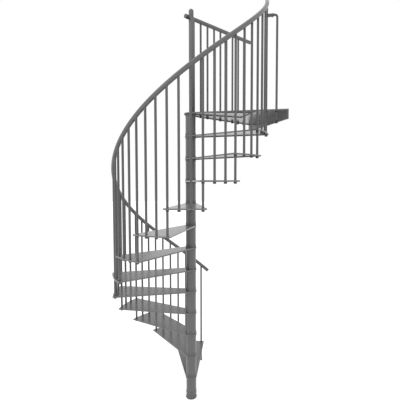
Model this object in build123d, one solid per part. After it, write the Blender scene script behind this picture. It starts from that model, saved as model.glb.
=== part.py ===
from build123d import *
import math
import os

# Spiral staircase of painted steel: a column of tube spacers on a small foot,
# treads that wind up round it, balusters under a helical handrail, and a
# landing plate with its own guard. Millimetres, Z up, the origin at the
# centre of the foot's underside. The stair climbs anticlockwise seen from above.

# Driving dimensions of the climb
tread_count = 12
rise = 227.0
first_tread_top = 233.0
baluster_circle_radius = 760.0
balusters_per_tread = 3
baluster_step_angle = 7.297
first_baluster_angle = 80.43

# Column
foot_radius = 56.5
foot_height = 50.0
foot_edge_round = 6.0
spacer_radius = 51.4
spacer_wall = 4.0
lower_collar_height = 26.0
upper_collar_height = 15.0
collar_stand_out = 3.0
pole_radius = 30.0
pole_wall = 5.0

# Treads: a flat plate with a downturned lip all round
tread_edge_beyond_balusters = 24.5
tread_side_beyond_balusters = 32.0
tread_hub_radius = 58.0
plate_thickness = 4.0
lip_depth = 12.5
lip_thickness = 3.0
hub_ring_wall = 18.0

# Balusters
baluster_radius = 10.6
nut_radius = 13.5
nut_height = 23.5
nut_round = 6.0
floor_pad_height = 6.0

# Handrail
handrail_radius = 20.0
handrail_height = 991.5
handrail_lower_overrun_angle = 6.5
handrail_upper_overrun_angle = 8.0
handrail_sections = 3
end_cap_length = 5.0
end_cap_round = 4.0

# Landing
guard_angle = 38.64
guard_height = 945.0
guard_first_baluster = 136.7
guard_baluster_spacing = 93.45
guard_baluster_count = 8
guard_rail_before_axis = 62.0
guard_rail_after_last_baluster = 105.0
landing_hub_radius = 70.0
landing_hub_back_radius = 66.0
near_side_beyond_balusters = 23.0
far_side_beyond_balusters = 27.0
wall_beyond_treads = 37.5
wall_turn = 4.0
wall_flange_depth = 97.0
wall_flange_thickness = 5.0
wall_flange_return = 14.0
rib_thickness = 5.0
cross_rib_before_wall = 262.0
near_arm_start = 138.0
near_arm_from_middle_arm = 280.0

# Newel post on the landing
newel_radius = 28.5
newel_above_guard_rail = 98.0
newel_offset = 17.0
newel_dome_height = 14.0

# Return post that closes the gap beside the last baluster
return_post_beyond_balusters = 97.4
return_tube_below_handrail = 107.0
return_bend_radius = 25.0
return_post_below_landing = 131.0
clamp_radius = 15.0
clamp_before_bend = 7.0
clamp_grip = 30.0
clamp_screw_radius = 4.0
clamp_screw_length = 7.0

# Clearances
seat_gap = 0.3
bore_clearance = 0.3

# Values that follow from the driving dimensions
tread_turn = balusters_per_tread * baluster_step_angle
tread_outer_radius = baluster_circle_radius + tread_edge_beyond_balusters
landing_top = first_tread_top + tread_count * rise
last_baluster_angle = first_baluster_angle + tread_count * tread_turn
hub_bore_radius = pole_radius + bore_clearance
baluster_hole_radius = baluster_radius + bore_clearance
rib_depth = lip_depth - plate_thickness
climb_per_degree = rise / tread_turn
handrail_start_angle = first_baluster_angle - handrail_lower_overrun_angle
handrail_end_angle = last_baluster_angle + handrail_upper_overrun_angle
wall_line_distance = tread_outer_radius + wall_beyond_treads
cross_rib_distance = wall_line_distance - cross_rib_before_wall
guard_rail_z = landing_top + guard_height
newel_height = guard_height + newel_above_guard_rail
guard_rail_end = (
    guard_first_baluster
    + (guard_baluster_count - 1) * guard_baluster_spacing
    + guard_rail_after_last_baluster
)
handrail_slope = math.degrees(
    math.atan2(climb_per_degree, math.radians(1) * baluster_circle_radius)
)
return_post_radius_from_axis = baluster_circle_radius + return_post_beyond_balusters
return_tube_z = landing_top + handrail_height - return_tube_below_handrail
clamp_end = return_post_radius_from_axis - return_bend_radius - clamp_before_bend


def polar(radius, angle, z=0.0):
    """A point at a radius and an angle in degrees about the column's axis."""
    turn = math.radians(angle)
    return Vector(radius * math.cos(turn), radius * math.sin(turn), z)


def tread_top(number):
    """Height of the top face of a tread, counted from 1; the landing is the last."""
    return first_tread_top + (number - 1) * rise


def baluster_angle(index):
    return first_baluster_angle + index * baluster_step_angle


def handrail_z(angle):
    """Height of the handrail's centre line at an angle about the column."""
    climbed = (angle - first_baluster_angle) * climb_per_degree
    return first_tread_top + handrail_height + climbed


def cylinder_between(start, end, radius):
    """A round bar from one point to another."""
    axis = end - start
    plane = Plane(origin=start, z_dir=axis)
    return extrude(plane * Circle(radius), axis.length)


def side_normal(angle, hub_radius, margin, side):
    """Outward normal angle of a straight side that leaves the hub circle as a
    tangent and passes outside the baluster at this angle by the margin."""
    nearness = (hub_radius - margin) / baluster_circle_radius
    return angle + side * math.degrees(math.acos(nearness))


def tangent_point(normal_angle, hub_radius):
    return polar(hub_radius, normal_angle)


def side_end_on_circle(normal_angle, hub_radius, outer_radius, side):
    """Where a straight side meets the outer circle."""
    along = math.sqrt(outer_radius**2 - hub_radius**2)
    foot = polar(hub_radius, normal_angle)
    return foot + polar(along, normal_angle - side * 90)


def side_end_on_wall(normal_angle, hub_radius, wall_angle, wall_distance, side):
    """Where a straight side meets the straight wall line."""
    foot = polar(hub_radius, normal_angle)
    direction = polar(1, normal_angle - side * 90)
    wall = polar(1, wall_angle)
    along = (wall_distance - foot.dot(wall)) / direction.dot(wall)
    return foot + direction * along


def hub_outline(first_normal, last_normal, hub_radius, back_radius):
    """The arc that closes a plate round the back of the column."""
    middle = (first_normal + last_normal) / 2 + 180
    return ThreePointArc(
        tangent_point(last_normal, hub_radius),
        polar(back_radius, middle),
        tangent_point(first_normal, hub_radius),
    )


def tread_face(number, inset):
    """Outline of a tread, or the same outline drawn in by an inset."""
    first = baluster_angle((number - 1) * balusters_per_tread)
    last = first + tread_turn
    margin = tread_side_beyond_balusters
    first_normal = side_normal(first, tread_hub_radius, margin, -1)
    last_normal = side_normal(last, tread_hub_radius, margin, 1)
    hub = tread_hub_radius - inset
    outer = tread_outer_radius - inset
    start = side_end_on_circle(first_normal, hub, outer, -1)
    end = side_end_on_circle(last_normal, hub, outer, 1)
    edges = [
        Line(tangent_point(first_normal, hub), start),
        ThreePointArc(start, polar(outer, (first + last) / 2), end),
        Line(end, tangent_point(last_normal, hub)),
        hub_outline(first_normal, last_normal, hub, hub),
    ]
    return make_face(edges)


def round_holes(points, radius, z_low, height):
    """Cutters for a set of round holes."""
    cutters = []
    for point in points:
        place = Pos(point.X, point.Y, z_low)
        cutters.append(place * Cylinder(radius, height, align=(Align.CENTER, Align.CENTER, Align.MIN)))
    return cutters


def tread(number):
    """Plate, downturned lip and the hub ring that slides over the pole."""
    top = tread_top(number)
    body = Pos(0, 0, top - lip_depth) * extrude(tread_face(number, 0), lip_depth)
    hollow = extrude(tread_face(number, lip_thickness), lip_depth - plate_thickness)
    body -= Pos(0, 0, top - lip_depth) * hollow
    ring = Cylinder(
        hub_bore_radius + hub_ring_wall,
        lip_depth,
        align=(Align.CENTER, Align.CENTER, Align.MAX),
    )
    body += Pos(0, 0, top) * ring
    body -= Pos(0, 0, top) * Cylinder(hub_bore_radius, 3 * lip_depth)
    first_index = (number - 1) * balusters_per_tread
    points = []
    for index in range(first_index, first_index + balusters_per_tread + 1):
        points.append(polar(baluster_circle_radius, baluster_angle(index)))
    for cutter in round_holes(points, baluster_hole_radius, top - lip_depth, 2 * lip_depth):
        body -= cutter
    return body


def base_foot():
    foot = Cylinder(foot_radius, foot_height, align=(Align.CENTER, Align.CENTER, Align.MIN))
    return fillet(foot.edges().group_by(Axis.Z)[-1], foot_edge_round)


def central_pole():
    """The tube inside the spacers that holds the hubs in line."""
    height = landing_top - plate_thickness - foot_height
    ring = Circle(pole_radius) - Circle(pole_radius - pole_wall)
    return Pos(0, 0, foot_height) * extrude(ring, height)


def spacer(low, high):
    """A tube between two hubs, with a slightly wider collar at each end."""
    inner = spacer_radius - spacer_wall
    tube = Pos(0, 0, low) * extrude(Circle(spacer_radius) - Circle(inner), high - low)
    ring = Circle(spacer_radius + collar_stand_out) - Circle(inner)
    lower = Pos(0, 0, low) * extrude(ring, lower_collar_height)
    upper = Pos(0, 0, high - upper_collar_height) * extrude(ring, upper_collar_height)
    return tube + lower + upper


def column_spacers():
    spacers = []
    low = foot_height
    for number in range(1, tread_count + 2):
        top = tread_top(number)
        spacers.append(spacer(low, top - lip_depth))
        low = top
    return Compound(children=spacers)


def plate_nut(point, z_top):
    """The rounded nut on a bar, close under a plate that it ends on or passes."""
    nut = Cylinder(nut_radius, nut_height, align=(Align.CENTER, Align.CENTER, Align.MAX))
    nut = fillet(nut.edges().group_by(Axis.Z)[0], nut_round)
    return Pos(point.X, point.Y, z_top) * nut


def upright(point, z_low, z_high):
    return cylinder_between(
        Vector(point.X, point.Y, z_low),
        Vector(point.X, point.Y, z_high),
        baluster_radius,
    )


def rail_direction(angle):
    """Unit vector up the helical handrail at an angle about the column."""
    flat = math.cos(math.radians(handrail_slope))
    return polar(flat, angle + 90) + Vector(0, 0, math.sin(math.radians(handrail_slope)))


def stair_baluster(index):
    """A round bar from its nut under a tread up to the handrail's underside."""
    angle = baluster_angle(index)
    point = polar(baluster_circle_radius, angle)
    rail_z = handrail_z(angle)
    if index == 0:
        bar = upright(point, 0, rail_z)
        pad = Cylinder(nut_radius, floor_pad_height, align=(Align.CENTER, Align.CENTER, Align.MIN))
        bar += Pos(point.X, point.Y, 0) * pad
    else:
        number = math.ceil(index / balusters_per_tread)
        seat = tread_top(number) - plate_thickness
        bar = upright(point, seat - nut_height, rail_z)
        bar += plate_nut(point, seat)
    if index % balusters_per_tread == 0:
        passed = index // balusters_per_tread + 1
        bar += plate_nut(point, tread_top(passed) - plate_thickness)
    along = rail_direction(angle)
    centre = Vector(point.X, point.Y, rail_z)
    reach = 3 * handrail_radius
    bar -= cylinder_between(centre - along * reach, centre + along * reach, handrail_radius + seat_gap)
    return bar.solids().sort_by(Axis.Z)[0]


def tread_balusters(number):
    """The bars that end on one tread; the first tread has one more, on the floor."""
    low = (number - 1) * balusters_per_tread + 1
    if number == 1:
        low = 0
    high = number * balusters_per_tread
    return Compound(children=[stair_baluster(index) for index in range(low, high + 1)])


def handrail_section(number):
    """One length of the helical tube."""
    turn = (handrail_end_angle - handrail_start_angle) / handrail_sections
    start = handrail_start_angle + number * turn
    path = Helix(
        pitch=360 * climb_per_degree,
        height=turn * climb_per_degree,
        radius=baluster_circle_radius,
    )
    profile = Plane(origin=path @ 0, z_dir=path % 0) * Circle(handrail_radius)
    section = sweep(profile, path=path, is_frenet=True)
    return Pos(0, 0, handrail_z(start)) * Rot(0, 0, start) * section


def end_cap(centre, outward):
    """A plug on the open end of a rail."""
    cap = extrude(Plane(origin=centre, z_dir=outward) * Circle(handrail_radius), end_cap_length)
    far = cap.faces().sort_by_distance(centre + outward * end_cap_length)[0]
    return fillet(far.edges(), end_cap_round)


def handrail_caps():
    low = polar(baluster_circle_radius, handrail_start_angle, handrail_z(handrail_start_angle))
    high = polar(baluster_circle_radius, handrail_end_angle, handrail_z(handrail_end_angle))
    return Compound(
        children=[
            end_cap(low, rail_direction(handrail_start_angle) * -1),
            end_cap(high, rail_direction(handrail_end_angle)),
        ]
    )


def landing_normals():
    """Outward normal angles of the near side and of the side under the guard."""
    hub = landing_hub_radius
    near = side_normal(last_baluster_angle, hub, near_side_beyond_balusters, -1)
    far = side_normal(guard_angle + 360, hub, far_side_beyond_balusters, 1)
    return near, far


def landing_wall_angle():
    """Direction square to the wall line, turned a little from the landing's middle."""
    return (last_baluster_angle + guard_angle + 360) / 2 + wall_turn


def landing_corners(side_inset, wall_inset):
    """Where the two free sides meet the wall line, each drawn in by its inset."""
    near, far = landing_normals()
    hub = landing_hub_radius - side_inset
    wall_angle = landing_wall_angle()
    wall = wall_line_distance - wall_inset
    near_corner = side_end_on_wall(near, hub, wall_angle, wall, -1)
    far_corner = side_end_on_wall(far, hub, wall_angle, wall, 1)
    return near_corner, far_corner


def wall_strip(width):
    """The strip of the landing along the wall line, from free side to free side."""
    near_corner, far_corner = landing_corners(0, 0)
    near_inner, far_inner = landing_corners(0, width)
    return make_face(Polyline(near_corner, far_corner, far_inner, near_inner, close=True))


def landing_face(inset):
    """Outline of the landing, or the same outline drawn in by an inset."""
    near, far = landing_normals()
    hub = landing_hub_radius - inset
    near_corner, far_corner = landing_corners(inset, inset)
    edges = [
        Line(tangent_point(near, hub), near_corner),
        Line(near_corner, far_corner),
        Line(far_corner, tangent_point(far, hub)),
        hub_outline(near, far, hub, landing_hub_back_radius - inset),
    ]
    return make_face(edges)


def guard_point(number):
    distance = guard_first_baluster + number * guard_baluster_spacing
    return polar(distance, guard_angle)


def return_post_point():
    return polar(return_post_radius_from_axis, last_baluster_angle)


def landing_plate():
    """Flat plate with lips along its two free sides and round the column. Its wall
    side has no lip, so that the flange reaches from corner to corner under it."""
    body = Pos(0, 0, landing_top - lip_depth) * extrude(landing_face(0), lip_depth)
    hollow = extrude(landing_face(lip_thickness), lip_depth - plate_thickness)
    hollow += extrude(wall_strip(wall_flange_thickness + seat_gap), lip_depth - plate_thickness)
    body -= Pos(0, 0, landing_top - lip_depth) * hollow
    ring = Circle(hub_bore_radius + hub_ring_wall) - Circle(hub_bore_radius)
    body += Pos(0, 0, landing_top - lip_depth) * extrude(ring, lip_depth - plate_thickness)
    points = [guard_point(number) for number in range(guard_baluster_count)]
    points.append(polar(baluster_circle_radius, last_baluster_angle))
    points.append(return_post_point())
    for cutter in round_holes(points, baluster_hole_radius, landing_top - lip_depth, 2 * lip_depth):
        body -= cutter
    return body


def wall_flange():
    """The deep plate under the wall side, with a return along its lower edge."""
    web_height = wall_flange_depth - plate_thickness
    web = extrude(wall_strip(wall_flange_thickness), web_height)
    web += extrude(wall_strip(wall_flange_return), wall_flange_thickness)
    return Pos(0, 0, landing_top - wall_flange_depth) * web


def rib(start, end):
    """A flat bar on edge under the landing plate."""
    line = end - start
    bar = Box(
        line.length,
        rib_thickness,
        rib_depth,
        align=(Align.MIN, Align.CENTER, Align.MAX),
    )
    turn = math.degrees(math.atan2(line.Y, line.X))
    return Pos(start.X, start.Y, landing_top - plate_thickness) * Rot(0, 0, turn) * bar


def landing_ribs():
    """A middle arm from the hub to a cross bar that runs to the near lip, and a
    second arm that leaves the near lip and meets the cross bar."""
    wall_angle = landing_wall_angle()
    near, far = landing_normals()
    lip_inner = landing_hub_radius - lip_thickness - seat_gap
    middle_start = polar(hub_bore_radius + hub_ring_wall + seat_gap, wall_angle)
    middle_end = polar(cross_rib_distance, wall_angle)
    cross_end = side_end_on_wall(
        near, lip_inner - rib_thickness, wall_angle, cross_rib_distance, -1
    )
    arm_start = polar(lip_inner - rib_thickness / 2, near) + polar(near_arm_start, near + 90)
    arm_end = middle_end + polar(near_arm_from_middle_arm, wall_angle - 90)
    bars = rib(middle_start, middle_end) + rib(middle_end, cross_end) + rib(arm_start, arm_end)
    return bars


def newel_post():
    """The upright beside the column's axis, domed, with the guard rail through it."""
    point = polar(newel_offset, guard_angle, landing_top)
    straight = newel_height - newel_dome_height
    post = extrude(Circle(newel_radius), straight)
    sphere_radius = (newel_radius**2 + newel_dome_height**2) / (2 * newel_dome_height)
    dome = Pos(0, 0, newel_height - sphere_radius) * Sphere(sphere_radius)
    cap = Pos(0, 0, straight) * extrude(Circle(newel_radius), newel_dome_height)
    post += cap & dome
    post = Pos(point.X, point.Y, point.Z) * post
    start = polar(-2 * newel_radius, guard_angle, guard_rail_z)
    end = polar(4 * newel_radius, guard_angle, guard_rail_z)
    return post - cylinder_between(start, end, handrail_radius + bore_clearance)


def guard_rail():
    start = polar(-guard_rail_before_axis, guard_angle, guard_rail_z)
    end = polar(guard_rail_end, guard_angle, guard_rail_z)
    rail = cylinder_between(start, end, handrail_radius)
    outward = polar(1, guard_angle)
    return Compound(children=[rail, end_cap(start, outward * -1), end_cap(end, outward)])


def guard_balusters():
    bars = []
    for number in range(guard_baluster_count):
        point = guard_point(number)
        seat = landing_top - plate_thickness
        bar = upright(point, seat - nut_height, guard_rail_z)
        bar += plate_nut(point, seat)
        start = polar(-guard_rail_before_axis, guard_angle, guard_rail_z)
        end = polar(guard_rail_end, guard_angle, guard_rail_z)
        bar -= cylinder_between(start, end, handrail_radius + seat_gap)
        bars.append(bar.solids().sort_by(Axis.Z)[0])
    return Compound(children=bars)


def return_post():
    """A thin tube out of the clamp, bent down through the landing plate."""
    z_low = landing_top - return_post_below_landing
    start = polar(clamp_end - clamp_grip, last_baluster_angle, return_tube_z)
    corner = polar(return_post_radius_from_axis, last_baluster_angle, return_tube_z)
    foot = polar(return_post_radius_from_axis, last_baluster_angle, z_low)
    path = FilletPolyline(start, corner, foot, radius=return_bend_radius)
    profile = Plane(origin=start, z_dir=corner - start) * Circle(baluster_radius)
    tube = sweep(profile, path=path)
    tube += plate_nut(foot, z_low + nut_height)
    return tube + plate_nut(foot, landing_top - plate_thickness)


def return_clamp():
    """The thick sleeve between the last baluster and the return post."""
    start = polar(baluster_circle_radius, last_baluster_angle, return_tube_z)
    end = polar(clamp_end, last_baluster_angle, return_tube_z)
    sleeve = cylinder_between(start, end, clamp_radius)
    post_hole = Cylinder(baluster_radius + seat_gap, 4 * clamp_radius)
    sleeve -= Pos(start.X, start.Y, start.Z) * post_hole
    grip_start = polar(clamp_end - clamp_grip - seat_gap, last_baluster_angle, return_tube_z)
    grip_end = polar(clamp_end + clamp_grip, last_baluster_angle, return_tube_z)
    sleeve -= cylinder_between(grip_start, grip_end, baluster_radius + bore_clearance)
    screw_point = polar(clamp_end - clamp_grip / 2, last_baluster_angle, return_tube_z)
    screw = Cylinder(clamp_screw_radius, clamp_screw_length)
    screw_z = screw_point.Z - clamp_radius - clamp_screw_length / 2 + seat_gap
    sleeve += Pos(screw_point.X, screw_point.Y, screw_z) * screw
    return sleeve.solids().sort_by(SortBy.VOLUME)[-1]


def write(name, shape):
    export_step(shape, "parts/" + name + ".step")


os.makedirs("parts", exist_ok=True)
write("base_foot", base_foot())
write("central_pole", central_pole())
write("column_spacers", column_spacers())
for tread_number in range(1, tread_count + 1):
    write(f"tread_{tread_number:02d}", tread(tread_number))
    write(f"balusters_{tread_number:02d}", tread_balusters(tread_number))
section_names = ["lower", "middle", "upper"]
for section_number in range(handrail_sections):
    write("handrail_" + section_names[section_number], handrail_section(section_number))
write("handrail_caps", handrail_caps())
write("landing_plate", landing_plate())
write("landing_wall_flange", wall_flange())
write("landing_ribs", landing_ribs())
write("newel_post", newel_post())
write("guard_rail", guard_rail())
write("guard_balusters", guard_balusters())
write("return_post", return_post())
write("return_clamp", return_clamp())
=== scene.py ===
import math

import bmesh
import bpy
import numpy as np
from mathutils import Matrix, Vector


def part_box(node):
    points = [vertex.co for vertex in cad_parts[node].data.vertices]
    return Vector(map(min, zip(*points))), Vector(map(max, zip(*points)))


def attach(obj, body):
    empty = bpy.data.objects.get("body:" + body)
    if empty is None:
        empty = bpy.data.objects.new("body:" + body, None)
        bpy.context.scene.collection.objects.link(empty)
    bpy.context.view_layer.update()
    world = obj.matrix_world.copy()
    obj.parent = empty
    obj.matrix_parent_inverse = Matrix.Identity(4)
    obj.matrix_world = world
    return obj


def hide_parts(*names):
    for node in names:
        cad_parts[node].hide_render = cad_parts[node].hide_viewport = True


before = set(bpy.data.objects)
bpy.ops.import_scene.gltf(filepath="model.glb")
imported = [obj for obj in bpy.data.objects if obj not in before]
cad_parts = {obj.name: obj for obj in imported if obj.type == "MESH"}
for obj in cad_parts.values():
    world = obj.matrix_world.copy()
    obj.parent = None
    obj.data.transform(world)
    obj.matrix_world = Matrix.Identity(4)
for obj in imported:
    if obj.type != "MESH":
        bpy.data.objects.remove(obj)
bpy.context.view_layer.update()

bl_info = {
    "name": "Spiral Stair Finish",
    "version": (1, 0, 0),
    "blender": (4, 5, 0),
    "location": "3D View > Sidebar > Spiral Stair",
    "description": "Coats, turned fittings and a plain studio for the open spiral stair",
    "category": "Object",
}

BODY = "root"
MM = 0.001
SENSOR_WIDTH = 36
UP = np.array([0.0, 0.0, 1.0])

# The part's counts: balusters from one tread to the next, and bars under the guard rail
BARS_TO_TREAD = 3
GUARD_BARS = 8

# Places that the frame gives
STAIR_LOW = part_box("base_foot")[0].z
TREAD_HEIGHTS = [
    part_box(name)[1].z for name in sorted(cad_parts) if name.startswith("tread_")
]
RISE = (TREAD_HEIGHTS[-1] - TREAD_HEIGHTS[0]) / (len(TREAD_HEIGHTS) - 1)
LANDING_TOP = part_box("landing_plate")[1].z
RAIL_HEIGHT = sum(corner.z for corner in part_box("guard_rail")) / 2

# Nodes by the coat that they get
PLATE_NODES = [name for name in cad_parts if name.startswith(("tread_", "landing_"))]
COLUMN_NODES = ["base_foot", "central_pole", "column_spacers", "newel_post"]
RAIL_NODES = ["handrail_lower", "handrail_middle", "handrail_upper", "guard_rail", "handrail_caps"]
BAR_NODES = [
    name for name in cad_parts
    if name.startswith("balusters_") or name in ("guard_balusters", "return_post", "return_clamp")
]


def length_property(name, description, default, low=0.0):
    """A length that a user may change."""
    return bpy.props.FloatProperty(
        name=name, description=description, default=default, min=low, unit="LENGTH",
        subtype="DISTANCE",
    )


def angle_property(name, description, degrees):
    """An angle that a user may change."""
    return bpy.props.FloatProperty(
        name=name, description=description, default=math.radians(degrees), unit="ROTATION",
        subtype="ANGLE",
    )


def share_property(name, description, default):
    """A share from 0 to 1 that a user may change."""
    return bpy.props.FloatProperty(
        name=name, description=description, default=default, min=0.0, max=1.0, subtype="FACTOR"
    )


def colour_property(name, description, default):
    """A colour that a user may change, as six sRGB hex digits."""
    return bpy.props.StringProperty(name=name, description=description, default=default)


class StairCoatSizes(bpy.types.PropertyGroup):
    """Colours and grain of the powder coats and of the moulded nylon."""

    plate_colour: colour_property("Plate coat", "Coat on the treads and the landing", "747474")
    column_colour: colour_property("Column coat", "Coat on the foot and the column", "707070")
    # The newel's colour is a little lighter than the column's, as painted light against the
    # landing's shade
    newel_colour_with_painted_light: colour_property("Newel coat", "Coat on the newel post", "737373")
    bar_colour: colour_property("Baluster coat", "Coat on the balusters", "646464")
    rail_colour: colour_property("Handrail coat", "Coat on the rails", "6D6F6E")
    # This dark colour is also painted shade on the sleeve where the guard rail meets the newel
    nylon_and_painted_shade_colour: colour_property("Nylon", "Nylon of the cap nuts and the grommet", "434343")
    plate_roughness: share_property("Plate roughness", "The smoother coat on flat plate", 0.23)
    tube_roughness: share_property("Tube roughness", "The satin coat on tubes and bars", 0.26)
    newel_roughness: share_property("Newel roughness", "The duller coat on the newel", 0.45)
    # Painted shade: the column's coat is darkened beside each tread, where the tread hides light
    painted_collar_shade: share_property("Collar shade", "Shade of a collar right beside a tread", 0.62)
    painted_shade_reach: length_property("Collar reach", "How far from a tread the shade goes", 28 * MM)
    cloud_width: length_property("Cloud", "Width of a faint cloud in a coat", 300 * MM, 10 * MM)
    peel_width: length_property("Orange peel", "Width of a wave of peel", 2.5 * MM, 0.5 * MM)
    peel_height: length_property("Peel height", "Height of the orange peel", 0.03 * MM)
    scuff_width: length_property("Scuff", "Width of a patch dulled by soles", 90 * MM, 5 * MM)
    drawn_width: length_property("Drawn line", "Width of a line on drawn tube", 6 * MM, 1 * MM)
    grip_length: length_property("Grip", "Length of a patch polished by hands", 120 * MM, 5 * MM)
    mould_grain: length_property("Mould grain", "Width of the nylon's grain", 0.6 * MM, 0.1 * MM)
    mould_depth: length_property("Mould depth", "Depth of the nylon's grain", 0.02 * MM)


class StairTurnedSizes(bpy.types.PropertyGroup):
    """Sizes of the turned pieces: the foot, the newel, its weld, the cap nuts, and the dark sleeve
    of painted shade on the guard rail.
    """

    foot_flange_height: length_property("Foot flange", "Height of the wide part", 23 * MM)
    foot_neck_radius: length_property("Foot neck", "Radius above the flange", 51.2 * MM)
    foot_slope: length_property("Foot slope", "Height from flange to neck", 1 * MM)
    foot_round: length_property("Foot edge", "Radius of the flange's round edges", 7 * MM)
    newel_swell: length_property("Newel swell", "Width added under the guard rail", 4 * MM)
    newel_edge: length_property("Newel edge", "Radius of the shoulder's round edge", 2 * MM)
    post_radius: length_property("Post radius", "Newel above the guard rail", 24.5 * MM)
    post_depth: length_property("Post depth", "How deep the post stands in the newel", 60 * MM)
    post_top_drop: length_property("Post top", "From the solid's top down to the post's", 5 * MM)
    bead_radius: length_property("Weld bead", "Radius of the weld bead", 3.2 * MM)
    bead_ripple: length_property("Weld ripple", "Length of a ripple of the bead", 4 * MM)
    nut_radius: length_property("Nut radius", "Radius of a cap nut", 13.8 * MM)
    nut_height: length_property("Nut height", "Height of a cap nut", 25.5 * MM)
    nut_round: length_property("Nut round", "Radius of a nut's round lower edge", 6.5 * MM)
    nut_flange_radius: length_property("Nut flange", "Radius of a nut's flange", 15.5 * MM)
    nut_flange_height: length_property("Nut flange height", "Height of the flange", 1.6 * MM)
    nut_flange_edge: length_property("Nut flange edge", "Radius of its round edge", 0.4 * MM)
    # The sleeve on the guard rail is a dark piece of painted shade where the rail meets the newel
    painted_shade_sleeve_radius: length_property("Grommet", "Radius of the grommet", 20.7 * MM)
    painted_shade_sleeve_length: length_property("Grommet length", "Length along the guard rail", 33 * MM)
    painted_shade_sleeve_edge: length_property("Grommet edge", "Radius of its round edge", 0.5 * MM)
    painted_shade_sleeve_reach: length_property("Grommet reach", "From the newel's axis to it", 42 * MM)
    plate_thickness: length_property("Plate", "Thickness of treads and landing", 4 * MM)
    baluster_circle: length_property("Baluster circle", "Radius of the circle", 760 * MM)
    first_angle: angle_property("First baluster", "Its angle about the column", 80.43)
    step_angle: angle_property("Baluster step", "From one baluster to the next", 7.297)
    guard_angle: angle_property("Guard angle", "Heading of the guard rail", 38.64)
    guard_first: length_property("First guard bar", "From the column's axis to it", 136.7 * MM)
    guard_spacing: length_property("Guard spacing", "From bar to bar", 93.45 * MM)
    return_reach: length_property("Return post", "From the column's axis to it", 857.4 * MM)
    return_drop: length_property("Return foot", "From the landing to its nut", 107.5 * MM)


class StairStageSizes(bpy.types.PropertyGroup):
    """Camera, floor and light."""

    camera_distance: length_property("Camera distance", "From the column to the camera", 3.5070)
    camera_height: length_property("Camera height", "Height of the camera", 2.2535)
    camera_down: angle_property("Camera tilt", "How far the camera looks down", 2.845)
    camera_right: angle_property("Camera turn", "How far the camera looks right", 3.679)
    focal_length: bpy.props.FloatProperty(
        name="Focal length", description="Focal length in millimetres on a 36 mm wide sensor",
        default=30.7235, min=10.0, max=200.0,
    )
    shift_right: bpy.props.FloatProperty(
        name="Shift right", description="Shift of the picture as a share of its width",
        default=-0.0318, min=-1.0, max=1.0,
    )
    shift_up: bpy.props.FloatProperty(
        name="Shift up", description="Shift of the picture as a share of its width",
        default=-0.0001, min=-1.0, max=1.0,
    )
    floor_radius: length_property("Floor radius", "Reach of the pale floor", 40.0, 2.0)
    floor_colour: colour_property("Floor", "The floor as the light meets it", "E6E6E6")
    floor_lift: share_property("Floor lift", "Glow that makes the seen floor white", 0.62)
    room_light: share_property("Room light", "How strongly the room lights the stair", 0.8)
    soft_box_place: bpy.props.FloatVectorProperty(
        name="Soft box", description="Place of the soft box", default=(-4.0, -4.0, 6.0),
        unit="LENGTH", subtype="TRANSLATION",
    )
    soft_box_aim: length_property("Soft box aim", "Height on the column that it faces", 2.0)
    soft_box_width: length_property("Soft box width", "Side of the square soft box", 3.0)
    soft_box_power: bpy.props.FloatProperty(
        name="Soft box power", description="Power of the soft box", default=60.0, min=0.0,
        unit="POWER",
    )


def linear(hex_colour):
    """sRGB hex to linear red, green, blue and a full alpha."""
    channels = []
    for start in (0, 2, 4):
        value = int(hex_colour[start:start + 2], 16) / 255
        if value <= 0.04045:
            channels.append(value / 12.92)
        else:
            channels.append(((value + 0.055) / 1.055) ** 2.4)
    return (*channels, 1.0)


def add_node(tree, kind, settings=None, links=None):
    """Adds one node. A key of settings is a property's name, or the name or number of an
    input that gets a value. A key of links is the name or number of an input that gets a
    socket, or the first output of a node."""
    node = tree.nodes.new(kind)
    for key, value in (settings or {}).items():
        if isinstance(key, int) or key in node.inputs:
            node.inputs[key].default_value = value
        else:
            setattr(node, key, value)
    for key, source in (links or {}).items():
        if isinstance(source, bpy.types.Node):
            source = source.outputs[0]
        tree.links.new(source, node.inputs[key])
    return node


def new_material(name):
    """A material with an empty node tree."""
    material = bpy.data.materials.new(name)
    material.use_nodes = True
    material.node_tree.nodes.clear()
    return material


def coat_base(tree, sizes, cloud_depth=0.03):
    """What every powder coat has: its place, faint clouds, the shade that they give, and
    the bump of the fine orange peel of powder that has flowed in the oven."""
    place = add_node(tree, "ShaderNodeTexCoord").outputs["Object"]
    cloud = add_node(
        tree, "ShaderNodeTexNoise",
        {"Scale": 1.0 / sizes.cloud_width, "Detail": 3.0, "Roughness": 0.55}, {"Vector": place},
    )
    shade = add_node(
        tree, "ShaderNodeMapRange", {"To Min": 1.0 - cloud_depth, "To Max": 1.0 + cloud_depth},
        {"Value": cloud},
    )
    peel = add_node(
        tree, "ShaderNodeTexNoise", {"Scale": 1.0 / sizes.peel_width, "Detail": 1.0},
        {"Vector": place},
    )
    bump = add_node(
        tree, "ShaderNodeBump", {"Strength": 0.25, "Distance": sizes.peel_height},
        {"Height": peel},
    )
    return place, cloud, shade, bump


def finish_coat(tree, colour, shade, roughness, normal, gloss=None):
    """The end of a coat: its colour times a shade near 1, in a shader. Gloss holds other
    values that are even all over. The mixer's inputs 6 and 7 and its output 2 are its
    colours."""
    tint = add_node(
        tree, "ShaderNodeMix",
        {"data_type": "RGBA", "blend_type": "MULTIPLY", "Factor": 1.0, 6: linear(colour)},
        {7: shade},
    )
    shader = add_node(
        tree, "ShaderNodeBsdfPrincipled", {"IOR": 1.5, **(gloss or {})},
        {"Base Color": tint.outputs[2], "Roughness": roughness, "Normal": normal},
    )
    add_node(tree, "ShaderNodeOutputMaterial", links={"Surface": shader})


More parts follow.
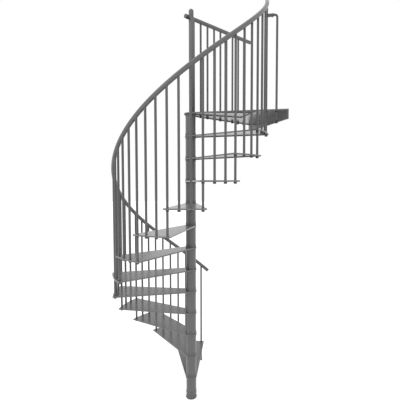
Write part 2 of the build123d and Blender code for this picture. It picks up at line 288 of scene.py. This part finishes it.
def plate_coat(sizes):
    """Satin powder coat on flat steel plate, which mirrors the white room where the eye
    meets it at a low angle; soles have dulled the top faces in patches a hand wide."""
    material = new_material("satin_powder_coat_on_plate")
    tree = material.node_tree
    place, cloud, cloud_shade, normal = coat_base(tree, sizes)
    # Soles reach only the faces that look up
    geometry = add_node(tree, "ShaderNodeNewGeometry")
    facing = add_node(tree, "ShaderNodeSeparateXYZ", links={"Vector": geometry.outputs["Normal"]})
    upward = add_node(
        tree, "ShaderNodeMapRange", {"From Min": 0.5, "From Max": 0.9},
        {"Value": facing.outputs["Z"]},
    )
    scuff = add_node(
        tree, "ShaderNodeTexNoise",
        {"Scale": 1.0 / sizes.scuff_width, "Detail": 6.0, "Roughness": 0.7}, {"Vector": place},
    )
    patch = add_node(
        tree, "ShaderNodeMapRange", {"From Min": 0.52, "From Max": 0.72}, {"Value": scuff}
    )
    walked = add_node(tree, "ShaderNodeMath", {"operation": "MULTIPLY"}, {0: upward, 1: patch})
    worn_shade = add_node(
        tree, "ShaderNodeMapRange", {"To Min": 1.0, "To Max": 1.05}, {"Value": walked}
    )
    shade = add_node(
        tree, "ShaderNodeMath", {"operation": "MULTIPLY"}, {0: cloud_shade, 1: worn_shade}
    )
    satin = add_node(
        tree, "ShaderNodeMapRange",
        {"To Min": sizes.plate_roughness - 0.02, "To Max": sizes.plate_roughness + 0.02},
        {"Value": cloud},
    )
    dulled = add_node(
        tree, "ShaderNodeMapRange", {"To Min": 1.0, "To Max": 1.15}, {"Value": walked}
    )
    rough = add_node(tree, "ShaderNodeMath", {"operation": "MULTIPLY"}, {0: satin, 1: dulled})
    gloss = {"IOR": 1.6, "Sheen Weight": 0.08, "Sheen Roughness": 0.3}
    finish_coat(tree, sizes.plate_colour, shade, rough, normal, gloss)
    return material


def column_coat(sizes):
    """Satin powder coat on drawn tube: faint lines run up the tube under the coat, and painted
    shade darkens the collars, most right where each tread meets the tube."""
    material = new_material("satin_powder_coat_on_column")
    tree = material.node_tree
    place, _, cloud_shade, normal = coat_base(tree, sizes)
    axes = add_node(tree, "ShaderNodeSeparateXYZ", links={"Vector": place})
    stretched = add_node(
        tree, "ShaderNodeMapping", {"Scale": (1.0, 1.0, 0.02)}, {"Vector": place}
    )
    drawn = add_node(
        tree, "ShaderNodeTexNoise", {"Scale": 1.0 / sizes.drawn_width, "Detail": 2.0},
        {"Vector": stretched},
    )
    # The height is counted from ten rises below the first tread, so that it stays positive
    height = add_node(
        tree, "ShaderNodeMath", {"operation": "SUBTRACT", 1: TREAD_HEIGHTS[0] - 10 * RISE},
        {0: axes.outputs["Z"]},
    )
    from_tread = add_node(
        tree, "ShaderNodeMath", {"operation": "PINGPONG", 1: RISE / 2}, {0: height}
    )
    # Painted shade on the collars, darkest right at each tread and gone at the reach
    collar_painted_shade = add_node(
        tree, "ShaderNodeMapRange",
        {
            "From Min": 1.0 * MM, "From Max": sizes.painted_shade_reach,
            "To Min": sizes.painted_collar_shade, "To Max": 1.0,
        },
        {"Value": from_tread},
    )
    line_shade = add_node(
        tree, "ShaderNodeMapRange", {"To Min": 0.98, "To Max": 1.02}, {"Value": drawn}
    )
    even_shade = add_node(
        tree, "ShaderNodeMath", {"operation": "MULTIPLY"}, {0: cloud_shade, 1: line_shade}
    )
    shade = add_node(tree, "ShaderNodeMath", {"operation": "MULTIPLY"}, {0: even_shade, 1: collar_painted_shade})
    rough = add_node(
        tree, "ShaderNodeMapRange",
        {"To Min": sizes.tube_roughness - 0.03, "To Max": sizes.tube_roughness + 0.05},
        {"Value": drawn},
    )
    finish_coat(tree, sizes.column_colour, shade, rough, normal)
    return material


def newel_coat(sizes):
    """The column's coat on the newel, which has no collars: a duller skin, so that the
    landing and the bars beside it show in the tube only as soft shade. Its colour is a
    little lighter than the column's, as painted light against the shade that the landing casts."""
    material = new_material("satin_powder_coat_on_newel")
    tree = material.node_tree
    _, cloud, shade, normal = coat_base(tree, sizes)
    rough = add_node(
        tree, "ShaderNodeMapRange",
        {"To Min": sizes.newel_roughness, "To Max": sizes.newel_roughness + 0.06},
        {"Value": cloud},
    )
    finish_coat(tree, sizes.newel_colour_with_painted_light, shade, rough, normal)
    return material


def bar_coat(sizes):
    """Satin powder coat on thin round bar, a little thicker and smoother than on plate."""
    material = new_material("satin_powder_coat_on_balusters")
    tree = material.node_tree
    _, cloud, shade, normal = coat_base(tree, sizes, cloud_depth=0.04)
    rough = add_node(
        tree, "ShaderNodeMapRange",
        {"To Min": sizes.tube_roughness, "To Max": sizes.tube_roughness + 0.06},
        {"Value": cloud},
    )
    finish_coat(tree, sizes.bar_colour, shade, rough, normal)
    return material


def rail_coat(sizes):
    """Smooth coat on the rails, which hands have polished: the sheen changes in soft
    patches as long as a grip."""
    material = new_material("hand_polished_rail_coat")
    tree = material.node_tree
    place, _, shade, normal = coat_base(tree, sizes)
    grip = add_node(
        tree, "ShaderNodeTexNoise", {"Scale": 1.0 / sizes.grip_length, "Detail": 2.0},
        {"Vector": place},
    )
    rough = add_node(
        tree, "ShaderNodeMapRange",
        {
            "From Min": 0.35, "From Max": 0.65,
            "To Min": sizes.tube_roughness - 0.05, "To Max": sizes.tube_roughness + 0.05,
        },
        {"Value": grip},
    )
    finish_coat(tree, sizes.rail_colour, shade, rough, normal)
    return material


def black_nylon_and_painted_shade(sizes):
    """Black nylon of the cap nuts, greyed by the white room: dull, with the fine sparkle of a
    spark-eroded mould. On the sleeve round the guard rail it is painted shade."""
    material = new_material("black_nylon_and_painted_shade")
    tree = material.node_tree
    place = add_node(tree, "ShaderNodeTexCoord").outputs["Object"]
    grain = add_node(
        tree, "ShaderNodeTexNoise", {"Scale": 1.0 / sizes.mould_grain, "Detail": 2.0},
        {"Vector": place},
    )
    bump = add_node(
        tree, "ShaderNodeBump", {"Strength": 0.3, "Distance": sizes.mould_depth},
        {"Height": grain},
    )
    shade = add_node(
        tree, "ShaderNodeMapRange", {"To Min": 0.9, "To Max": 1.08}, {"Value": grain}
    )
    rough = add_node(
        tree, "ShaderNodeMapRange", {"To Min": 0.4, "To Max": 0.55}, {"Value": grain}
    )
    finish_coat(tree, sizes.nylon_and_painted_shade_colour, shade, rough, bump)
    return material


def coat_nodes(names, material):
    """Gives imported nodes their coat."""
    for name in names:
        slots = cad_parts[name].data.materials
        slots.clear()
        slots.append(material)


def coat_of(name):
    """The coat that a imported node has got."""
    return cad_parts[name].data.materials[0]


class STAIR_OT_coat_plates(bpy.types.Operator):
    """Coats the treads and the landing"""

    bl_idname = "stair.coat_plates"
    bl_label = "Coat the plates"

    def execute(self, context):
        coat_nodes(PLATE_NODES, plate_coat(context.scene.stair_coat))
        return {"FINISHED"}


class STAIR_OT_coat_column(bpy.types.Operator):
    """Coats the foot, the column and the newel post"""

    bl_idname = "stair.coat_column"
    bl_label = "Coat the column"

    def execute(self, context):
        coat_nodes(COLUMN_NODES, column_coat(context.scene.stair_coat))
        return {"FINISHED"}


class STAIR_OT_coat_bars(bpy.types.Operator):
    """Coats the balusters, the return post and its clamp"""

    bl_idname = "stair.coat_bars"
    bl_label = "Coat the balusters"

    def execute(self, context):
        coat_nodes(BAR_NODES, bar_coat(context.scene.stair_coat))
        return {"FINISHED"}


class STAIR_OT_coat_rails(bpy.types.Operator):
    """Coats the handrail and the guard rail"""

    bl_idname = "stair.coat_rails"
    bl_label = "Coat the rails"

    def execute(self, context):
        coat_nodes(RAIL_NODES, rail_coat(context.scene.stair_coat))
        return {"FINISHED"}


def mesh_piece(name, points, quads, material):
    """A piece at the origin from a grid's points and faces, riding on the stair. Points
    that share a place, as at the poles, are joined."""
    mesh = bpy.data.meshes.new(name)
    mesh.from_pydata(points.reshape(-1, 3).tolist(), [], quads.reshape(-1, 4).tolist())
    shape = bmesh.new()
    shape.from_mesh(mesh)
    bmesh.ops.remove_doubles(shape, verts=shape.verts, dist=0.001 * MM)
    shape.to_mesh(mesh)
    shape.free()
    mesh.polygons.foreach_set("use_smooth", np.ones(len(mesh.polygons), bool))
    mesh.update()
    piece = bpy.data.objects.new(name, mesh)
    bpy.context.scene.collection.objects.link(piece)
    piece.data.materials.append(material)
    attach(piece, BODY)
    return piece


def turned(profile, centre, spokes=96, heading=None):
    """A turned surface and its faces: centre + r(s) cos a U + r(s) sin a V + z(s) W, where
    s runs along the profile and a round the axis W, which is up or lies flat in a heading.
    Faces look outwards where the profile runs the way of W."""
    turn = np.linspace(0, 2 * np.pi, spokes, endpoint=False)[None, :, None]
    radius, height = np.array(profile).T[:, :, None, None]
    if heading is None:
        across, over, along = np.eye(3)
    else:
        along = np.array([math.cos(heading), math.sin(heading), 0.0])
        across = UP
        over = np.cross(along, across)
    points = np.array(centre) + radius * np.cos(turn) * across + radius * np.sin(turn) * over
    row = np.arange(len(profile) - 1)[:, None] * spokes
    column = np.arange(spokes)[None, :]
    beside = (column + 1) % spokes
    quads = [row + column, row + beside, row + spokes + beside, row + spokes + column]
    return points + height * along, np.stack(quads, axis=-1).reshape(-1, 4)


def arc(radius, height, size, start, end, count=10):
    """Points of a profile on an arc, in degrees: (radius + size cos t, height + size sin t)."""
    turn = np.radians(np.linspace(start, end, count))
    return list(zip(radius + size * np.cos(turn), height + size * np.sin(turn)))


def merged(parts):
    """Joins grids into one set of points and faces."""
    points = np.concatenate([part[0].reshape(-1, 3) for part in parts])
    starts = np.cumsum([0] + [part[0].reshape(-1, 3).shape[0] for part in parts[:-1]])
    quads = np.concatenate([part[1] + start for part, start in zip(parts, starts)])
    return points, quads


def circle_path(centre, radius, count=240):
    """Points of a level circle, anticlockwise: centre + radius (cos t, sin t, 0)."""
    turn = np.linspace(0, 2 * np.pi, count, endpoint=False)
    flat = [centre[0] + radius * np.cos(turn), centre[1] + radius * np.sin(turn)]
    return np.stack([*flat, np.full(count, centre[2])], axis=-1)


def bead(path, radius, ripple, depth=0.12, sides=10):
    """A weld bead along a closed path: path(s) + q(s) (cos t outwards + sin t up), where
    q(s) = radius (1 + depth cos 2 pi s / w), s is the length along the path and w is one
    ripple."""
    ahead = np.roll(path, -1, axis=0) - np.roll(path, 1, axis=0)
    ahead /= np.linalg.norm(ahead, axis=1)[:, None]
    outwards = np.cross(ahead, UP)[:, None, :]
    along = np.cumsum(np.linalg.norm(path - np.roll(path, 1, axis=0), axis=1))
    waves = max(1, round(along[-1] / ripple))
    swell = radius * (1 + depth * np.cos(2 * np.pi * waves * along / along[-1]))[:, None, None]
    turn = np.linspace(0, 2 * np.pi, sides, endpoint=False)[None, :, None]
    points = path[:, None, :] + swell * (np.cos(turn) * outwards + np.sin(turn) * UP)
    row = np.arange(len(path))[:, None] * sides
    next_row = np.roll(row, -1, axis=0)
    column = np.arange(sides)[None, :]
    beside = (column + 1) % sides
    quads = [row + column, next_row + column, next_row + beside, row + beside]
    return points, np.stack(quads, axis=-1).reshape(-1, 4)


class STAIR_OT_add_foot(bpy.types.Operator):
    """Adds the foot: the column's neck over a rounded flange on the floor"""

    bl_idname = "stair.add_foot"
    bl_label = "Add the foot"

    def execute(self, context):
        sizes = context.scene.stair_turned
        low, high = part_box("base_foot")
        height = high.z - low.z
        flange = sizes.foot_flange_height
        size = sizes.foot_round
        bend = (high.x - low.x) / 2 - size
        neck = sizes.foot_neck_radius
        profile = [(0.0, 0.0)]
        profile += arc(bend, size, size, -90, 0)
        profile += arc(bend, flange - size, size, 0, 60)
        profile += [(neck, flange + sizes.foot_slope), (neck, height), (0.0, height)]
        points, quads = turned(profile, (0.0, 0.0, low.z))
        foot = mesh_piece("column_foot_turned", points, quads, coat_of("base_foot"))
        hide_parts("base_foot")
        return {"FINISHED"}


class STAIR_OT_add_newel(bpy.types.Operator):
    """Adds the newel, wide under the guard rail and a thin round-topped post above it,
    and the weld round its foot"""

    bl_idname = "stair.add_newel"
    bl_label = "Add the newel post"

    def execute(self, context):
        sizes = context.scene.stair_turned
        low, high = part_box("newel_post")
        middle = np.array([(low.x + high.x) / 2, (low.y + high.y) / 2, low.z])
        solid_radius = (high.x - low.x) / 2
        swell = sizes.newel_swell / 2
        wide = solid_radius + swell
        centre = middle + [swell, 0, 0]
        shoulder = RAIL_HEIGHT - low.z
        edge = sizes.newel_edge
        lower = [(0.0, 0.0), (wide, 0.0)]
        lower += arc(wide - edge, shoulder - edge, edge, 0, 90, 5) + [(0.0, shoulder)]
        post = sizes.post_radius
        bottom = shoulder - sizes.post_depth
        top = high.z - low.z - sizes.post_top_drop
        # The dome's arc stops just short of its pole, which is the outline's last point
        upper = [(0.0, bottom), (post, bottom)]
        upper += arc(0.0, top - post, post, 0, 89.5, 16) + [(0.0, top)]
        # Post and newel share their left side, as the solid newel does
        beside = middle - [solid_radius - post, 0, 0]
        points, quads = merged([turned(lower, centre), turned(upper, beside)])
        newel = mesh_piece("newel_turned", points, quads, newel_coat(context.scene.stair_coat))
        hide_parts("newel_post")
        # Part of the bead is sunk into the newel and the landing
        bead_size = sizes.bead_radius
        path = circle_path(centre + 0.4 * bead_size * UP, wide + 0.3 * bead_size)
        points, quads = bead(path, bead_size, sizes.bead_ripple)
        weld = mesh_piece("newel_weld", points, quads, coat_of("landing_plate"))
        return {"FINISHED"}


def nut_profile(sizes, flanged):
    """Outline of a cap nut from its round lower end up to the plate it sits under."""
    size, radius = sizes.nut_round, sizes.nut_radius
    profile = [(0.0, -sizes.nut_height)]
    profile += arc(radius - size, size - sizes.nut_height, size, -90, 0)
    if flanged:
        wide, edge = sizes.nut_flange_radius, sizes.nut_flange_edge
        profile += [(radius, -sizes.nut_flange_height)]
        profile += arc(wide - edge, edge - sizes.nut_flange_height, edge, -90, 0, 4)
        profile += [(wide, 0.0)]
    else:
        profile += [(radius, 0.0)]
    return profile + [(0.0, 0.0)]


class STAIR_OT_add_cap_nuts(bpy.types.Operator):
    """Adds the cap nuts over the nuts under the treads and the landing"""

    bl_idname = "stair.add_cap_nuts"
    bl_label = "Add the cap nuts"

    def execute(self, context):
        sizes = context.scene.stair_turned
        flanged = nut_profile(sizes, True)
        plain = nut_profile(sizes, False)
        circle, plate = sizes.baluster_circle, sizes.plate_thickness
        last_turn = sizes.first_angle + BARS_TO_TREAD * len(TREAD_HEIGHTS) * sizes.step_angle
        spots = []
        for number, top in enumerate(TREAD_HEIGHTS):
            for step in range(BARS_TO_TREAD + 1):
                turn = sizes.first_angle + (BARS_TO_TREAD * number + step) * sizes.step_angle
                spots.append((circle, turn, top - plate, flanged))
        spots.append((circle, last_turn, LANDING_TOP - plate, flanged))
        for number in range(GUARD_BARS):
            reach = sizes.guard_first + number * sizes.guard_spacing
            spots.append((reach, sizes.guard_angle, LANDING_TOP - plate, flanged))
        for drop in (plate, sizes.return_drop):
            spots.append((sizes.return_reach, last_turn, LANDING_TOP - drop, plain))
        nuts = []
        for reach, turn, height, profile in spots:
            place = (reach * math.cos(turn), reach * math.sin(turn), height)
            nuts.append(turned(profile, place, spokes=32))
        points, quads = merged(nuts)
        piece = mesh_piece("cap_nuts", points, quads, black_nylon_and_painted_shade(context.scene.stair_coat))
        return {"FINISHED"}


class STAIR_OT_add_painted_shade_sleeve(bpy.types.Operator):
    """Adds a dark nylon sleeve round the guard rail where it leaves the newel, as painted shade in
    the corner between rail and newel
    """

    bl_idname = "stair.add_grommet"
    bl_label = "Add the grommet"

    def execute(self, context):
        sizes = context.scene.stair_turned
        low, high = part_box("newel_post")
        heading = sizes.guard_angle
        radius, length, edge = sizes.painted_shade_sleeve_radius, sizes.painted_shade_sleeve_length, sizes.painted_shade_sleeve_edge
        profile = [(0.0, -length)]
        profile += arc(radius - edge, edge - length, edge, -90, 0, 5)
        profile += [(radius, 0.0), (0.0, 0.0)]
        reach = (low.x + high.x) / 2 / math.cos(heading) - sizes.painted_shade_sleeve_reach
        place = (reach * math.cos(heading), reach * math.sin(heading), RAIL_HEIGHT)
        points, quads = turned(profile, place, spokes=64, heading=heading)
        # A dark piece that stands for the shade between the rail and the newel
        piece = mesh_piece("newel_painted_shade_sleeve", points, quads, bpy.data.materials["black_nylon_and_painted_shade"])
        return {"FINISHED"}


def seen_share(tree):
    """A node that gives 1 to rays from the eye, also by way of gloss or glass, and 0 to
    the rays that light the stair."""
    paths = add_node(tree, "ShaderNodeLightPath")
    eye_or_gloss = add_node(
        tree, "ShaderNodeMath", {"operation": "MAXIMUM"},
        {0: paths.outputs["Is Camera Ray"], 1: paths.outputs["Is Glossy Ray"]},
    )
    return add_node(
        tree, "ShaderNodeMath", {"operation": "MAXIMUM"},
        {0: eye_or_gloss, 1: paths.outputs["Is Transmission Ray"]},
    )


def floor_material(sizes):
    """Matt white studio floor: paper white to the eye, with the stair's shadow on it."""
    material = new_material("matt_white_studio_floor")
    tree = material.node_tree
    lift = add_node(
        tree, "ShaderNodeMath", {"operation": "MULTIPLY", 1: sizes.floor_lift},
        {0: seen_share(tree)},
    )
    shader = add_node(
        tree, "ShaderNodeBsdfPrincipled",
        {
            "Base Color": linear(sizes.floor_colour), "Roughness": 0.9,
            "Specular IOR Level": 0.0, "Emission Color": (1.0, 1.0, 1.0, 1.0),
        },
        {"Emission Strength": lift},
    )
    add_node(tree, "ShaderNodeOutputMaterial", links={"Surface": shader})
    return material


def disc_mesh(name, radius, z, rings=6, spokes=96):
    """A flat disc: (x, y) = radius times a ring's share times (cos t, sin t), one t to a
    spoke, with quads between the rings and a fan about the middle."""
    share = np.linspace(0, 1, rings + 1)[1:, None]
    turn = np.linspace(0, 2 * np.pi, spokes, endpoint=False)[None, :]
    x = radius * share * np.cos(turn)
    y = radius * share * np.sin(turn)
    points = np.stack([x, y, np.full_like(x, z)], axis=-1).reshape(-1, 3)
    points = np.vstack([[[0.0, 0.0, z]], points])
    row = np.arange(rings - 1)[:, None] * spokes + 1
    spoke = np.arange(spokes)[None, :]
    inner = row + spoke
    beside = row + (spoke + 1) % spokes
    quads = np.stack([inner, inner + spokes, beside + spokes, beside], axis=-1).reshape(-1, 4)
    first = np.arange(spokes) + 1
    fans = np.stack([np.zeros(spokes, int), first, first % spokes + 1], axis=-1)
    mesh = bpy.data.meshes.new(name)
    mesh.from_pydata(points.tolist(), [], fans.tolist() + quads.tolist())
    return mesh


def white_world(sizes):
    """An even white room; a strength of 1 is what the eye, gloss and glass see as white."""
    world = bpy.data.worlds.new("white_studio_room")
    world.use_nodes = True
    tree = world.node_tree
    tree.nodes.clear()
    strength = add_node(
        tree, "ShaderNodeMapRange", {"To Min": sizes.room_light, "To Max": 1.0},
        {"Value": seen_share(tree)},
    )
    background = add_node(
        tree, "ShaderNodeBackground", {"Color": (1.0, 1.0, 1.0, 1.0)}, {"Strength": strength}
    )
    add_node(tree, "ShaderNodeOutputWorld", links={"Surface": background})
    return world


def add_soft_box(sizes):
    """A square soft box, turned towards the column."""
    light = bpy.data.lights.new("soft_box_left", "AREA")
    light.size = sizes.soft_box_width
    light.energy = sizes.soft_box_power
    lamp = bpy.data.objects.new("soft_box_left", light)
    bpy.context.scene.collection.objects.link(lamp)
    place = sizes.soft_box_place
    right, ahead, up = -place[0], -place[1], sizes.soft_box_aim - place[2]
    lamp.location = place
    lamp.rotation_euler = (
        math.pi / 2 + math.atan2(up, math.hypot(right, ahead)), 0, math.atan2(-right, ahead)
    )


def add_camera(sizes):
    """The camera that saw the stair, worked out from the photograph."""
    camera = bpy.data.cameras.new("photo_view")
    camera.sensor_width = SENSOR_WIDTH
    camera.lens = sizes.focal_length
    camera.shift_x = sizes.shift_right
    camera.shift_y = sizes.shift_up
    camera.clip_end = 5 * sizes.floor_radius
    view = bpy.data.objects.new("photo_view", camera)
    bpy.context.scene.collection.objects.link(view)
    view.location = (0, -sizes.camera_distance, sizes.camera_height)
    view.rotation_euler = (math.pi / 2 - sizes.camera_down, 0, -sizes.camera_right)
    bpy.context.scene.camera = view


class STAIR_OT_set_stage(bpy.types.Operator):
    """Sets the floor, the light and the camera"""

    bl_idname = "stair.set_stage"
    bl_label = "Set the stage"

    def execute(self, context):
        sizes = context.scene.stair_stage
        disc = disc_mesh("studio_floor", sizes.floor_radius, STAIR_LOW)
        floor = bpy.data.objects.new("studio_floor", disc)
        context.scene.collection.objects.link(floor)
        floor.data.materials.append(floor_material(sizes))
        context.scene.world = white_world(sizes)
        add_soft_box(sizes)
        add_camera(sizes)
        context.scene.view_settings.view_transform = "Standard"
        return {"FINISHED"}


class STAIR_PT_panel(bpy.types.Panel):
    """Lists the steps that dress the stair"""

    bl_label = "Spiral Stair"
    bl_space_type = "VIEW_3D"
    bl_region_type = "UI"
    bl_category = "Spiral Stair"

    def draw(self, context):
        for operator in OPERATORS:
            self.layout.operator(operator.bl_idname)


OPERATORS = (
    STAIR_OT_coat_plates,
    STAIR_OT_coat_column,
    STAIR_OT_coat_bars,
    STAIR_OT_coat_rails,
    STAIR_OT_add_foot,
    STAIR_OT_add_newel,
    STAIR_OT_add_cap_nuts,
    STAIR_OT_add_painted_shade_sleeve,
    STAIR_OT_set_stage,
)
CLASSES = (StairCoatSizes, StairTurnedSizes, StairStageSizes, *OPERATORS, STAIR_PT_panel)


def register():
    for cls in CLASSES:
        bpy.utils.register_class(cls)
    bpy.types.Scene.stair_coat = bpy.props.PointerProperty(type=StairCoatSizes)
    bpy.types.Scene.stair_turned = bpy.props.PointerProperty(type=StairTurnedSizes)
    bpy.types.Scene.stair_stage = bpy.props.PointerProperty(type=StairStageSizes)


def unregister():
    del bpy.types.Scene.stair_stage
    del bpy.types.Scene.stair_turned
    del bpy.types.Scene.stair_coat
    for cls in reversed(CLASSES):
        bpy.utils.unregister_class(cls)


def main():
    register()
    bpy.ops.stair.coat_plates()
    bpy.ops.stair.coat_column()
    bpy.ops.stair.coat_bars()
    bpy.ops.stair.coat_rails()
    bpy.ops.stair.add_foot()
    bpy.ops.stair.add_newel()
    bpy.ops.stair.add_cap_nuts()
    bpy.ops.stair.add_grommet()
    bpy.ops.stair.set_stage()


if __name__ == "__main__":
    main()
